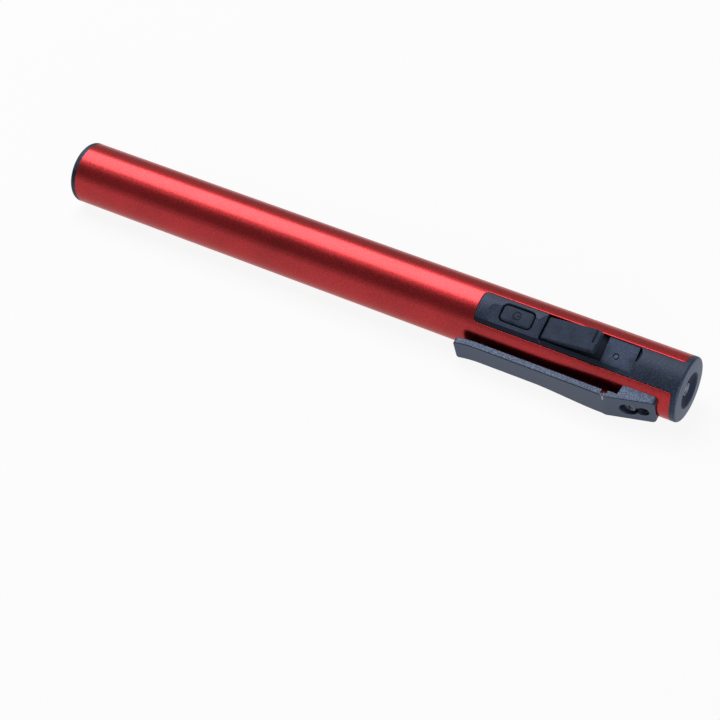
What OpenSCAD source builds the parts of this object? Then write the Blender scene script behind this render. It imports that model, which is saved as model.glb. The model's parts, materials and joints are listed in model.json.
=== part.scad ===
// Rechargeable penlight: a slotted tube, a head moulding with its control panel, a pocket clip and the core.
// X runs along the barrel from the tail face, and Z is up as the light lies on its barrel and its clip.

/* [Barrel] */
// Outside diameter of the barrel
barrel_d = 14; // [12:0.1:18]
// Wall of the barrel tube
tube_wall = 1; // [0.8:0.1:1.2]
// Length of the barrel tube
tube_l = 147.7; // [128:0.1:180]
// Chamfer on the tube's outer edges
tube_chamfer = 0.15; // [0.05:0.05:0.3]

/* [Tail plug] */
// Thickness of the flange outside the tube
tail_flange = 1.4; // [1:0.1:3]
// Rounding of the flange's outer edge
tail_round = 0.55; // [0.1:0.05:0.9]
// Length of the spigot inside the tube
tail_spigot_l = 8; // [5:0.5:14]
// Wall of the hollow spigot
tail_spigot_wall = 2; // [1.6:0.1:2.5]
// Cord thickness of the sealing ring
o_ring_d = 1.06; // [0.8:0.02:1.2]

/* [Head cap] */
// Length of the cap past the end of the tube
cap_l = 1.3; // [1:0.1:4]
// Rounding of the cap's rim
cap_round = 0.6; // [0.1:0.05:0.8]
// Rise of the face from the rim to the lamp recess
cap_rise = 0.1; // [0.05:0.05:0.4]
// Mouth diameter of the dished lamp recess
recess_d = 8; // [6:0.1:9.4]
// Depth of the lamp recess
recess_depth = 1.1; // [0.8:0.1:1.8]
// Diameter of the lens opening at the bottom of the recess
lens_opening_d = 2.8; // [2:0.1:3.6]
// Height of the lens above the bottom of the dish
lens_rise = 0.3; // [0:0.05:0.5]

/* [Panel slot] */
// Length of the slot from the head end of the tube
slot_l = 44.8; // [38:0.1:54]
// Width of the slot
slot_w = 6.85; // [6.6:0.05:7.4]
// Shift of the slot from the panel's middle towards the clip
slot_shift = 0.39; // [0.2:0.01:0.5]
// Corner radius at the slot's closed end
slot_corner = 1.1; // [0.5:0.1:1.6]
// Corner radius at the slot's mouth
mouth_corner = 0.5; // [0.2:0.1:1.2]

/* [Panel] */
// Depth of the flat round the button below the barrel's crown
deck_drop = 0.24; // [0.15:0.01:0.5]
// Lean of the flat and the indicator plate towards the clip
panel_lean = 8; // [4:0.5:10]
// Depth of the flat's sloped end below the crown
deck_end_drop = 0.63; // [0.55:0.01:0.8]
// Slope of the flat's end
deck_slope = 27; // [20:1:35]
// Depth of the flap's bed below the crown
bed_drop = 2; // [1.8:0.05:2.2]
// Depth of the indicator plate below the crown
plate_drop = 1.55; // [1.2:0.05:1.8]
// Width of the bed and the plate
bed_w = 5.86; // [5.6:0.02:5.9]
// Radius of the scoop that ends the flat
scoop_r = 3.5; // [2:0.1:5]
// Start of the flat, from the slot's closed end
deck_in = 3.7; // [3:0.1:4.1]
// Start of the flap's bed, from the slot's closed end
bed_in = 14.6; // [14:0.1:16]
// Length of the flap's bed
bed_l = 13.7; // [13.5:0.1:14.1]
// Length of the indicator plate
plate_l = 7; // [6.5:0.1:7.6]
// Radius of the thumb notch at the end of the plate
notch_r = 2.45; // [2:0.05:2.8]
// Reach of the notch past the plate's end
notch_reach = 0.9; // [0.4:0.05:1.2]
// Depth of the notch below the plate
notch_depth = 0.6; // [0.2:0.05:0.7]
// Distance of the notch from the panel's middle
notch_shift = 1; // [0.4:0.1:1.2]
// Thickness of the roof under the flap's bed
roof_t = 0.8; // [0.7:0.05:1]

/* [Button] */
// Length of the button along the barrel
button_l = 7; // [6:0.1:7.4]
// Width of the button
button_w = 3.55; // [3:0.05:4]
// Corner radius of the button
button_corner = 0.9; // [0.4:0.1:1.3]
// Height of the button above the flat
button_proud = 0.05; // [0:0.05:0.3]
// Gap round the button
button_gap = 0.28; // [0.15:0.01:0.4]
// Travel of the button
button_travel = 0.35; // [0.2:0.05:0.4]
// Middle of the button, from the slot's closed end
button_in = 8.7; // [8.4:0.1:9.2]
// Rim of the retaining flange inside the panel
button_rim = 0.7; // [0.5:0.05:0.8]
// Diameter of the power symbol on the button
symbol_d = 1.9; // [1.4:0.1:2.4]
// Depth of the symbol
symbol_depth = 0.12; // [0.06:0.02:0.2]

/* [Flap] */
// Thickness of the flap
flap_t = 1.55; // [1.3:0.05:1.7]
// Width of the flap
flap_w = 4.9; // [4.4:0.1:5.2]
// Length of the flap from its hinge to its free end
flap_l = 12.1; // [11.5:0.1:12.2]
// Gap in front of the flap's hinge end
flap_gap = 0.35; // [0.2:0.05:0.4]
// Length of the stepped pull tab at the free end
tab_l = 1; // [0.8:0.1:1.8]
// Width of the pull tab
tab_w = 3.1; // [2:0.1:3.6]
// Depth of the pull tab's step
tab_step = 0.45; // [0.2:0.05:0.6]
// Angle at which the flap stands ajar
flap_ajar = 14; // [0:1:20]
// Depth of the plug under the flap
flap_plug = 0.6; // [0.3:0.05:0.7]

/* [Clip] */
// Angle round the barrel from the panel to the clip
clip_turn = 81; // [78:0.5:84]
// Tip of the clip, back from the head end of the tube
clip_tip_back = 47.2; // [42:0.1:56]
// End of the clip's foot, back from the head end of the tube
clip_end_back = 2.6; // [2.2:0.1:3]
// Groove that thins the arm, back from the head end of the tube
clip_groove_back = 13; // [12.4:0.1:13.4]
// Width of that groove
clip_groove_w = 1.3; // [0.9:0.1:1.5]
// Thickness left at the groove
clip_skin = 0.5; // [0.3:0.05:0.7]
// Thickness of the arm
arm_t = 1.5; // [1.2:0.05:1.8]
// Space between the arm and the barrel
arm_gap = 0.88; // [0.6:0.02:1.2]
// Height of the clip above the barrel at its groove
clip_peak = 2.8; // [2.5:0.05:3.2]
// Height of the clip above the barrel at the foot's end
clip_end_h = 0.6; // [0.4:0.05:0.9]
// Width of the arm at its tip
arm_tip_w = 5.9; // [5:0.1:6.4]
// Width of the clip from its groove to its end
clip_root_w = 7.5; // [7:0.1:8]
// Length of the arm's straight part from its tip
arm_straight = 17; // [10:0.5:24]
// Outward flare of the tip
tip_flare = 0.55; // [0.2:0.05:0.8]
// Height of the grip bump inside the tip
grip_bump = 0.5; // [0.2:0.05:0.5]
// Middle of the grip bump, from the tip
bump_in = 6; // [4:0.5:10]
// Width of the grip bump
grip_w = 2.6; // [1.6:0.1:4]
// Length of the foot's ledge past the groove
foot_ledge = 2; // [1.2:0.1:2.6]
// Middle of the screw, past the groove
screw_in = 4.45; // [4.2:0.05:4.7]
// Diameter of the well round the screw
screw_well_d = 3.8; // [3.4:0.1:4.2]
// Middle of the small well, past the groove
peg_in = 7.25; // [7:0.05:7.4]
// Diameter of the small well
peg_well_d = 2.8; // [2.4:0.1:3]
// Width of the channel between the two wells
well_link_w = 1.8; // [1.4:0.1:2.2]
// Shank diameter of the clip screw
screw_d = 1.4; // [1.2:0.1:1.6]
// Head diameter of the clip screw
screw_head_d = 2.5; // [2:0.05:2.7]

/* [Core] */
// Wall of the carrier tray under the cell
tray_t = 0.7; // [0.5:0.05:1]
// Length of the lithium cell
cell_l = 44; // [40:0.5:48]
// Thickness of the sleeve round the cell
sleeve_t = 0.1; // [0.08:0.01:0.15]
// Space between the head moulding and the cell
cell_gap = 7.75; // [6:0.05:12]
// Thickness of the foam pad behind the cell
foam_t = 3.5; // [2:0.1:5]
// Start of the driver board, from the rear of the head moulding
board_in = 3.95; // [3:0.05:4.3]
// Space in front of the driver board
board_end_gap = 1.5; // [1:0.1:2]
// Space between the driver board's edges and the bore, across the axis
board_margin = 1.25; // [1.1:0.05:1.4]
// Thickness of the driver board
board_t = 0.8; // [0.6:0.05:1]
// Height of the driver board's top below the barrel's axis
board_drop = 1.5; // [1.3:0.05:1.7]
// Middle of the charging socket, from the start of the flap's bed
socket_in = 6.2; // [5.9:0.1:6.5]
// Length of the charging socket's shell
socket_l = 8.94; // [8.8:0.01:9.1]
// Width of the charging socket's shell
socket_w = 3.26; // [3.1:0.01:3.4]
// Wall of the shell
socket_wall = 0.3; // [0.25:0.01:0.35]
// Side of the square switch body
switch_side = 4.5; // [4.2:0.1:4.8]
// Height of the switch body
switch_h = 2.5; // [2:0.1:2.8]
// Space round the lamp board in the bore
led_board_margin = 1.45; // [1.2:0.05:1.8]
// Thickness of the round lamp board
led_board_t = 1; // [0.8:0.1:1.2]
// Diameter of the indicator's light pipe
pipe_d = 0.85; // [0.7:0.05:1]
// Diameter of the dark ring round the light pipe
pipe_ring_d = 1.4; // [1.3:0.05:1.6]
// Middle of the indicator, back from the plate's end
pipe_in = 4.3; // [3.8:0.1:4.8]
// Shift of the indicator towards the clip
pipe_shift = 0.4; // [0.2:0.1:0.6]
// Diameter of an insulated wire
wire_d = 0.9; // [0.7:0.05:1]

/* [Fits] */
// Gap between pieces that are fitted together
fit_gap = 0.05; // [0.02:0.01:0.08]
// Gap between pieces that move past each other
run_gap = 0.15; // [0.1:0.01:0.2]

/* [Hidden] */
$fn = 64;

red = [0.72, 0.07, 0.09];
black = [0.11, 0.12, 0.14];
rubber = [0.13, 0.14, 0.17];
steel = [0.75, 0.76, 0.78];
board_green = [0.1, 0.35, 0.2];

barrel_r = barrel_d / 2;
bore_r = barrel_r - tube_wall;
head_x = tail_flange + tube_l;
tiny = 0.01;
past = 1;

// Panel heights above the axis, along the panel's normal
deck_z = barrel_r - deck_drop;
bed_z = barrel_r - bed_drop;
plate_z = barrel_r - plate_drop;
roof_z = bed_z - roof_t;
slot_x = head_x - slot_l;
deck_x = slot_x + deck_in;
bed_x = slot_x + bed_in;
plate_x = bed_x + bed_l;
plate_end_x = plate_x + plate_l;
notch_lead = 0.3;
button_x = slot_x + button_in;
pipe_x = plate_end_x - pipe_in;
pipe_top_z = plate_z - pipe_shift * tan(panel_lean);

// The core inside the tube
plug_r = bore_r - fit_gap;
plug_x = slot_x + fit_gap;
board_z = -board_drop;
board_under_z = board_z - board_t;
board_w = 2 * (plug_r - board_margin);
board_ledge = 0.6;
ledge_w = board_w - 2 * board_ledge;
board_pocket_w = board_w + 2 * fit_gap;
tray_r = bore_r - 3 * fit_gap;
tray_bore_r = tray_r - tray_t;
trough_t = 1.1;
trough_r = tray_r - trough_t;
tray_x = tail_flange + tail_spigot_l + fit_gap;
tray_wall = 1.2;
sleeve_r = tray_bore_r - fit_gap;
cell_r = sleeve_r - sleeve_t;
cell_front_x = plug_x - cell_gap;
cell_rear_x = cell_front_x - cell_l;
foam_x = cell_rear_x - foam_t;
protection_gap = 1.4;
protection_x = cell_front_x + protection_gap;
protection_t = 0.8;

// The lamp, from the face of the cap inwards
rim_x = head_x + cap_l;
mouth_x = rim_x + cap_rise;
recess_x = mouth_x - recess_depth;
dish_r = (pow(recess_d / 2, 2) + pow(recess_depth, 2)) / (2 * recess_depth);
mouth_land = 0.2;
lens_lip = 0.4;
lens_x = recess_x - lens_lip;
lens_flange_d = 5;
lens_flange_t = 0.9;
lens_dome_r = lens_opening_d / 2 - fit_gap;
lens_bow = 0.5;
lens_ball_r = (pow(lens_dome_r, 2) + pow(lens_bow, 2)) / (2 * lens_bow);
led_side = 3;
led_h = 0.6;
led_x = lens_x - lens_flange_t - led_h - 3 * fit_gap;
led_board_x = led_x - led_board_t;
tray_end_x = led_board_x - fit_gap;
board_x = plug_x + board_in;
board_end_x = tray_end_x - board_end_gap;
led_board_r = plug_r - led_board_margin;

// The charging socket under the flap
hinge_r = flap_t / 2;
hinge_x = bed_x + flap_gap + hinge_r;
hinge_z = bed_z + 2 * fit_gap + hinge_r;
anchor_t = 0.9;
anchor_w = 2.6;
barb_h = 0.6;
barb_w = 3.8;
barb_reach = 0.75;
socket_x = bed_x + socket_in;
socket_base_h = 2;
tongue_l = 6.69;
tongue_t = 0.7;
tongue_drop = 0.75;

// The indicator and the small parts of the core
indicator_l = 1.6;
indicator_w = 0.8;
indicator_h = 0.7;
ring_depth = 0.35;
tab_strip_w = 2.4;
tab_strip_t = 0.15;
tab_pitch = 4;
lead_rise = 1.2;
lead_pitch = 2.6;
lead_solder = 1.5;
led_lead_pitch = 3.2;
driver_size = [3.9, 4.9, 1.4];
coil_size = [3, 3, 1.2];
front_size = [2.9, 1.6, 1.1];
passive_size = [1.6, 0.8, 0.6];
chip_gap = 1;

// The button and its switch
button_top_z = deck_z + button_proud;
rim_top_z = roof_z - run_gap;
rim_t = 0.65;
switch_top_z = board_z + switch_h;
plunger_r = 1.2;
plunger_proud = 0.5;
plunger_depth = 1.4;
stem_r = 1.1;
symbol_line = 0.25;

// The clip, in a frame of its own with Z away from the barrel
tip_x = head_x - clip_tip_back;
clip_end_x = head_x - clip_end_back;
groove_x = head_x - clip_groove_back;
groove_left_x = groove_x - clip_groove_w / 2;
groove_right_x = groove_x + clip_groove_w / 2;
peak_z = barrel_r + clip_peak;
arm_out_z = barrel_r + arm_gap + arm_t;
clip_end_z = barrel_r + clip_end_h;
saddle_r = barrel_r + fit_gap / 2;
arm_steps = 24;
flare_l = 5;
bump_x = tip_x + bump_in;
bump_l = 4;
taper_x = tip_x + arm_straight;
foot_step_x = groove_right_x + foot_ledge;
screw_x = groove_right_x + screw_in;
peg_x = groove_right_x + peg_in;
well_floor = 0.5;
well_floor_z = barrel_r + well_floor;
screw_head_h = 0.7;
screw_l = 4.6;
cross_l = 1.4;
cross_w = 0.3;
cross_depth = 0.35;
boss_wall = 0.9;
boss_reach = 3;

// Roll that lays the barrel and the clip's widest corner on one floor
corner_r = norm([peak_z, clip_root_w / 2]);
roll = 180 - acos(barrel_r / corner_r) - atan(clip_root_w / 2 / peak_z) - clip_turn;

function arc(centre, r, from, to, steps = 8) =
    [for (i = [0:steps]) let (a = from + (to - from) * i / steps) centre + r * [cos(a), sin(a)]];
function ease(u) = let (v = min(max(u, 0), 1)) v * v * (3 - 2 * v);
function arm_outer_z(x) =
    arm_out_z
    + (peak_z - arm_out_z) * ease((x - taper_x) / (groove_left_x - taper_x))
    + tip_flare * pow(max(0, 1 - (x - tip_x) / flare_l), 2);
function arm_inner_z(x) = arm_outer_z(x) - arm_t;
function bump_z(x) = arm_inner_z(x) - grip_bump * pow(cos(180 * (x - bump_x) / bump_l), 2);
function arm_half_w(x) =
    (arm_tip_w + (clip_root_w - arm_tip_w) * ease((x - taper_x) / (groove_left_x - taper_x))) / 2;

// Turns the whole light from the panel's frame to the way it lies
module lay() {
    rotate([roll, 0, 0]) children();
}

// Turns a piece from the clip's frame to the panel's
module at_clip() {
    rotate([clip_turn, 0, 0]) children();
}

module rod_x(r, from, to) {
    translate([from, 0, 0]) rotate([0, 90, 0]) cylinder(h = to - from, r = r);
}

// Turns a profile of radius and length about the barrel's axis
module turned(points) {
    rotate([0, 90, 0]) rotate_extrude() polygon(points);
}

module block(from, to) {
    translate(from) cube(to - from);
}

module stadium(l, w) {
    square([l - w, w], center = true);
    for (side = [-1, 1]) translate([side * (l - w) / 2, 0]) circle(d = w);
}

module rounded_rect(l, w, r) {
    square([l - 2 * r, w], center = true);
    square([l, w - 2 * r], center = true);
    for (sx = [-1, 1], sy = [-1, 1]) translate([sx * (l / 2 - r), sy * (w / 2 - r)]) circle(r);
}

// Slot seen along the panel's normal, drawn in by a gap, with a rounded closed end and a rounded mouth
module slot_outline(gap) {
    half = slot_w / 2 - gap;
    from = slot_x + gap;
    bend = slot_corner;
    mouth = mouth_corner;
    translate([0, -slot_shift]) {
        translate([from + bend, -half]) square([head_x + past - from - bend, 2 * half]);
        translate([from, bend - half]) square([bend + tiny, 2 * (half - bend)]);
        for (side = [-1, 1]) {
            translate([from + bend, side * (half - bend)]) circle(bend);
            difference() {
                translate([head_x - mouth, side * half - (side < 0 ? mouth : tiny)])
                    square([mouth + past, mouth + tiny]);
                translate([head_x - mouth, side * (half + mouth)]) circle(mouth);
            }
        }
    }
}

// Round hole from the clip's outside towards the axis, at the screw
module screw_bore(r, from, to) {
    at_clip() translate([screw_x, 0, from]) cylinder(h = to - from, r = r);
}

module barrel_tube() {
    edge_r = barrel_r - tube_chamfer;
    color(red) lay() difference() {
        turned([
            [bore_r, tail_flange], [edge_r, tail_flange], [barrel_r, tail_flange + tube_chamfer],
            [barrel_r, head_x - tube_chamfer], [edge_r, head_x], [bore_r, head_x],
        ]);
        translate([0, 0, bore_r / 2]) linear_extrude(barrel_r) slot_outline(0);
        screw_bore(screw_d / 2 + 2 * fit_gap, bore_r / 2, barrel_r + past);
    }
}

// Solid of the head before the panel and the lamp are cut into it
module head_body() {
    difference() {
        union() {
            rod_x(plug_r, plug_x, head_x + tiny);
            intersection() {
                rod_x(barrel_r, slot_x, head_x + tiny);
                translate([0, 0, bore_r / 2]) linear_extrude(barrel_r) slot_outline(fit_gap);
            }
        }
        block([plug_x - past, -barrel_r, -barrel_r], [led_board_x, barrel_r, board_under_z]);
    }
    turned(concat(
        [[0, head_x], [barrel_r, head_x]],
        arc([barrel_r - cap_round, rim_x - cap_round], cap_round, 0, 75),
        [[recess_d / 2 + mouth_land, mouth_x], [0, mouth_x]]
    ));
}

// Leaning flat with its scooped start and sloped end, the flap's bed, the leaning plate and its thumb notch
module panel_cuts() {
    top = barrel_r + past;
    translate([0, 0, deck_z]) rotate([panel_lean, 0, 0]) {
        block([deck_x, -barrel_d, 0], [bed_x + past, barrel_d, barrel_r]);
        translate([deck_x, 0, scoop_r]) rotate([90, 0, 0])
            cylinder(h = 2 * barrel_d, r = scoop_r, center = true);
    }
    translate([bed_x, 0, barrel_r - deck_end_drop]) rotate([0, deck_slope, 0])
        block([-scoop_r, -barrel_r, 0], [past, barrel_r, barrel_r]);
    block([bed_x, -bed_w / 2, bed_z], [plate_x, barrel_r, top]);
    intersection() {
        block([plate_x - tiny, -bed_w / 2, 0], [plate_end_x, barrel_r, top]);
        translate([0, 0, plate_z]) rotate([panel_lean, 0, 0])
            block([plate_x - past, -barrel_d, 0], [plate_end_x + past, barrel_d, barrel_d]);
    }
    intersection() {
        translate([plate_end_x + notch_reach - notch_r, notch_shift, plate_z - notch_depth])
            cylinder(h = barrel_r, r = notch_r);
        block([plate_end_x - notch_lead, -barrel_r, 0], [head_x, barrel_r, top]);
    }
}

// Holes through the panel for the button, the socket, the flap's anchor and the light pipe
module panel_holes() {
    from = roof_z - past;
    translate([button_x, 0, from]) linear_extrude(barrel_r)
        rounded_rect(button_l + 2 * button_gap, button_w + 2 * button_gap, button_corner + button_gap);
    translate([socket_x, 0, from]) linear_extrude(barrel_r)
        stadium(socket_l + 4 * fit_gap, socket_w + 4 * fit_gap);
    anchor_stud(fit_gap, from, barrel_r);
    translate([pipe_x, -pipe_shift, from]) cylinder(h = barrel_r, d = pipe_d + 2 * fit_gap);
    translate([pipe_x, -pipe_shift, pipe_top_z - ring_depth]) cylinder(h = barrel_r, d = pipe_ring_d);
}

// Room for the board, the lamp board, the lens and the light's way out
module core_cuts() {
    block([plug_x - past, -ledge_w / 2, -barrel_r], [led_board_x + tiny, ledge_w / 2, roof_z]);
    block([plug_x - past, -board_pocket_w / 2, -barrel_r], [led_board_x - past, board_pocket_w / 2, board_z]);
    rod_x(led_board_r + fit_gap, led_board_x - past, led_x + fit_gap);
    rod_x(lens_flange_d / 2 + fit_gap, led_x, lens_x);
    rod_x(lens_opening_d / 2, lens_x - tiny, mouth_x);
    translate([recess_x + dish_r, 0, 0]) sphere(dish_r);
}

module head_moulding() {
    color(black) lay() difference() {
        union() {
            difference() {
                head_body();
                panel_cuts();
                core_cuts();
            }
            // Boss that takes the clip screw
            intersection() {
                rod_x(plug_r, plug_x, led_board_x);
                screw_bore(screw_d / 2 + boss_wall, boss_reach, barrel_r);
                block([plug_x, -barrel_r, board_z + tiny], [head_x, 0, roof_z]);
            }
        }
        panel_holes();
        screw_bore(screw_d / 2 + fit_gap, 0, barrel_r);
    }
}

module head_lens() {
    flange_r = lens_flange_d / 2;
    shoulder_x = lens_x - fit_gap;
    rear_x = shoulder_x - lens_flange_t;
    dome_x = recess_x + lens_rise - lens_ball_r;
    color([0.9, 0.93, 0.95, 0.5]) lay() turned(concat(
        [[0, rear_x], [flange_r, rear_x], [flange_r, shoulder_x], [lens_dome_r, shoulder_x]],
        arc([0, dome_x], lens_ball_r, acos(lens_dome_r / lens_ball_r), 90)
    ));
}

module emitter_led() {
    half = led_side / 2;
    color([0.95, 0.88, 0.5]) lay() block([led_x, -half, -half], [led_x + led_h, half, half]);
}

module led_board() {
    color([0.9, 0.9, 0.88]) lay() rod_x(led_board_r, led_board_x, led_x);
}

module led_leads() {
    color("firebrick") lay() for (side = [-1, 1])
        translate([0, side * led_lead_pitch / 2, board_z + wire_d / 2])
            rod_x(wire_d / 2, board_end_x - lead_solder, led_board_x);
}

module carrier_tray() {
    color([0.2, 0.21, 0.23]) lay() {
        // Half pipe under the cell, with a wall at the tail and one behind the foam
        difference() {
            rod_x(tray_r, tray_x, plug_x - fit_gap);
            rod_x(tray_bore_r, foam_x, plug_x);
            rod_x(tray_bore_r, tray_x + tray_wall, foam_x - tray_wall);
            block([0, -barrel_r, 0], [head_x, barrel_r, barrel_r]);
        }
        // Trough under the driver board
        difference() {
            rod_x(tray_r, plug_x - fit_gap - tiny, tray_end_x);
            rod_x(trough_r, plug_x - past, tray_end_x - tray_wall);
            block([0, -barrel_r, board_under_z - fit_gap], [head_x, barrel_r, barrel_r]);
        }
    }
}

module driver_board() {
    half = board_w / 2;
    color(board_green) lay() block([board_x, -half, board_under_z], [board_end_x, half, board_z]);
}

// Driver chip between switch and socket, coil and passives past the socket, a chip at the front
module driver_chips() {
    driver_x = (button_x + switch_side / 2 + socket_x - socket_l / 2) / 2;
    coil_x = socket_x + socket_l / 2 + chip_gap + coil_size[0] / 2;
    front_x = board_end_x - lead_solder - chip_gap - front_size[0] / 2;
    side_y = ledge_w / 4;
    color([0.08, 0.08, 0.09]) lay() {
        chip([driver_x, 0], driver_size);
        chip([coil_x, side_y], coil_size);
        chip([coil_x, -side_y], passive_size);
        chip([coil_x, -side_y - passive_size[1] - chip_gap / 2], passive_size);
        chip([front_x, side_y], front_size);
        chip([front_x, 0], passive_size);
    }
}

module chip(at, size) {
    translate([at[0] - size[0] / 2, at[1] - size[1] / 2, board_z]) cube(size);
}

module charge_socket() {
    color(steel) lay() translate([socket_x, 0, board_z]) difference() {
        linear_extrude(bed_z - fit_gap - board_z) stadium(socket_l, socket_w);
        translate([0, 0, -past]) linear_extrude(barrel_d)
            stadium(socket_l - 2 * socket_wall, socket_w - 2 * socket_wall);
    }
}

module socket_insulator() {
    inset = 2 * (socket_wall + fit_gap);
    color([0.15, 0.15, 0.16]) lay() translate([socket_x, 0, board_z]) {
        linear_extrude(socket_base_h) stadium(socket_l - inset, socket_w - inset);
        linear_extrude(bed_z - tongue_drop - board_z) square([tongue_l, tongue_t], center = true);
    }
}

module switch_body() {
    half = switch_side / 2;
    color([0.3, 0.3, 0.32]) lay() difference() {
        translate([button_x - half, -half, board_z]) cube([switch_side, switch_side, switch_h]);
        translate([button_x, 0, switch_top_z - plunger_depth])
            cylinder(h = barrel_r, r = plunger_r + fit_gap);
    }
}

module switch_plunger() {
    under_z = switch_top_z - plunger_depth + button_travel + 2 * fit_gap;
    color([0.85, 0.85, 0.8]) lay() translate([button_x, 0, under_z])
        cylinder(h = switch_top_z + plunger_proud - under_z, r = plunger_r);
}

module indicator_led() {
    color([0.9, 0.9, 0.85]) lay()
        translate([pipe_x - indicator_l / 2, -pipe_shift - indicator_w / 2, board_z])
            cube([indicator_l, indicator_w, indicator_h]);
}

module indicator_light_pipe() {
    from = board_z + indicator_h + fit_gap;
    color([0.75, 0.78, 0.8, 0.7]) lay() translate([pipe_x, -pipe_shift, from])
        cylinder(h = pipe_top_z - from, d = pipe_d);
}

module battery_cell() {
    color(steel) lay() rod_x(cell_r, cell_rear_x, cell_front_x);
}

module cell_sleeve() {
    color([0.1, 0.3, 0.6]) lay() difference() {
        rod_x(sleeve_r, cell_rear_x, cell_front_x);
        rod_x(cell_r, cell_rear_x - past, cell_front_x + past);
    }
}

// Two short tabs in front of the cell and one strip over the sleeve from its rear
module cell_tabs() {
    half = tab_strip_w / 2;
    strip_z = sleeve_r + fit_gap;
    color(steel) lay() {
        for (side = [-1, 1])
            translate([cell_front_x, side * tab_pitch / 2 - half, 0])
                cube([protection_x - cell_front_x, tab_strip_w, tab_strip_t]);
        block([cell_rear_x, -half, strip_z], [protection_x + protection_t, half, strip_z + tab_strip_t]);
    }
}

module protection_board() {
    color(board_green) lay() intersection() {
        rod_x(sleeve_r, protection_x, protection_x + protection_t);
        block([0, -ledge_w / 2, -ledge_w / 2], [head_x, ledge_w / 2, barrel_r]);
    }
}

module battery_leads() {
    from = [protection_x + protection_t + 2 * fit_gap, lead_rise];
    run = [board_x + lead_solder, board_z + wire_d / 2 + tiny] - from;
    color("firebrick") lay() for (side = [-1, 1])
        translate([from[0], side * lead_pitch / 2, from[1]]) rotate([0, 90 - atan2(run[1], run[0]), 0])
            cylinder(h = norm(run), d = wire_d);
}

module cell_foam() {
    color([0.3, 0.3, 0.3]) lay() rod_x(cell_r - 2 * fit_gap, foam_x, cell_rear_x);
}

module tail_cap() {
    ring_x = tail_flange + tail_spigot_l / 2;
    spigot_x = tail_flange + tail_spigot_l;
    groove_half = o_ring_d * 0.8;
    color(black) lay() difference() {
        turned(concat(
            [[0, 0]],
            arc([barrel_r - tail_round, tail_round], tail_round, -90, 0),
            [[barrel_r, tail_flange], [plug_r, tail_flange], [plug_r, spigot_x], [0, spigot_x]]
        ));
        rod_x(plug_r - tail_spigot_wall, 2 * tail_flange, head_x);
        difference() {
            rod_x(barrel_r, ring_x - groove_half, ring_x + groove_half);
            rod_x(bore_r - o_ring_d - 2 * fit_gap, 0, head_x);
        }
    }
}

module tail_o_ring() {
    color([0.05, 0.05, 0.05]) lay() translate([tail_flange + tail_spigot_l / 2, 0, 0]) rotate([0, 90, 0])
        rotate_extrude() translate([bore_r - fit_gap / 2 - o_ring_d / 2, 0]) circle(d = o_ring_d);
}

// Side view of a clip piece, run across the clip's width
module clip_side(w, points) {
    translate([0, w / 2, 0]) rotate([90, 0, 0]) linear_extrude(w) polygon(points);
}

module clip_foot() {
    ledge_z = peak_z - arm_t;
    skin_z = peak_z - clip_skin;
    bend = 0.9;
    slope = 0.6;
    rim = 0.5;
    half = clip_root_w / 2;
    under_z = barrel_r / 2;
    color(black) lay() at_clip() difference() {
        intersection() {
            clip_side(clip_root_w, [
                [groove_x + fit_gap, skin_z], [groove_right_x, skin_z], [groove_right_x, ledge_z],
                [foot_step_x, ledge_z], [foot_step_x + slope, under_z], [clip_end_x, under_z],
                [clip_end_x, clip_end_z], [groove_right_x, peak_z], [groove_x + fit_gap, peak_z],
            ]);
            linear_extrude(barrel_d) polygon(concat(
                [[groove_x, -half - tiny]],
                arc([clip_end_x - bend, -half + bend], bend, -90, 0),
                arc([clip_end_x - bend, half - bend], bend, 0, 90),
                [[groove_x, half + tiny]]
            ));
        }
        rod_x(saddle_r, 0, head_x + past);
        translate([screw_x, 0, well_floor_z]) cylinder(h = barrel_r, d = screw_well_d);
        translate([peg_x, 0, well_floor_z]) cylinder(h = barrel_r, d = peg_well_d);
        block([screw_x, -well_link_w / 2, well_floor_z], [peg_x, well_link_w / 2, barrel_d]);
        translate([peg_x, 0, 0]) cylinder(h = barrel_d, r = peg_well_d / 2 - rim);
        translate([screw_x, 0, 0]) cylinder(h = barrel_d, r = screw_d / 2 + 2 * fit_gap);
    }
}

module clip_arm() {
    bend = 0.7;
    span = groove_left_x - tip_x;
    xs = [for (i = [0:arm_steps]) tip_x + span * i / arm_steps];
    bumps = [for (i = [0:arm_steps]) bump_x + bump_l * (i / arm_steps - 0.5)];
    edge = [for (x = xs) if (x > tip_x + bend) [x, arm_half_w(x)]];
    tip_half = arm_half_w(tip_x);
    tip_arc = arc([tip_x + bend, tip_half - bend], bend, 180, 90);
    half_plan = concat(tip_arc, edge, [[groove_x, clip_root_w / 2]]);
    color(black) lay() at_clip() {
        intersection() {
            clip_side(clip_root_w, concat(
                [for (x = xs) [x, arm_outer_z(x)]],
                [[groove_x - fit_gap, peak_z], [groove_x - fit_gap, peak_z - clip_skin]],
                [[groove_left_x, peak_z - clip_skin]],
                [for (i = [arm_steps:-1:0]) [xs[i], arm_inner_z(xs[i])]]
            ));
            linear_extrude(2 * barrel_d) polygon(concat(
                half_plan,
                [for (i = [len(half_plan) - 1:-1:0]) [half_plan[i][0], -half_plan[i][1]]]
            ));
        }
        clip_side(grip_w, concat(
            [for (x = bumps) [x, bump_z(x)]],
            [[bump_x + bump_l / 2, arm_out_z - arm_t / 2], [bump_x - bump_l / 2, arm_out_z - arm_t / 2]]
        ));
    }
}

module clip_screw() {
    top = well_floor_z + screw_head_h;
    color(steel) lay() at_clip() translate([screw_x, 0, 0]) difference() {
        union() {
            translate([0, 0, well_floor_z]) cylinder(h = screw_head_h, d = screw_head_d);
            translate([0, 0, well_floor_z - screw_l + tiny]) cylinder(h = screw_l, d = screw_d);
        }
        for (turn = [0, 90]) rotate(turn)
            translate([-cross_l / 2, -cross_w / 2, top - cross_depth]) cube([cross_l, cross_w, past]);
    }
}

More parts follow.
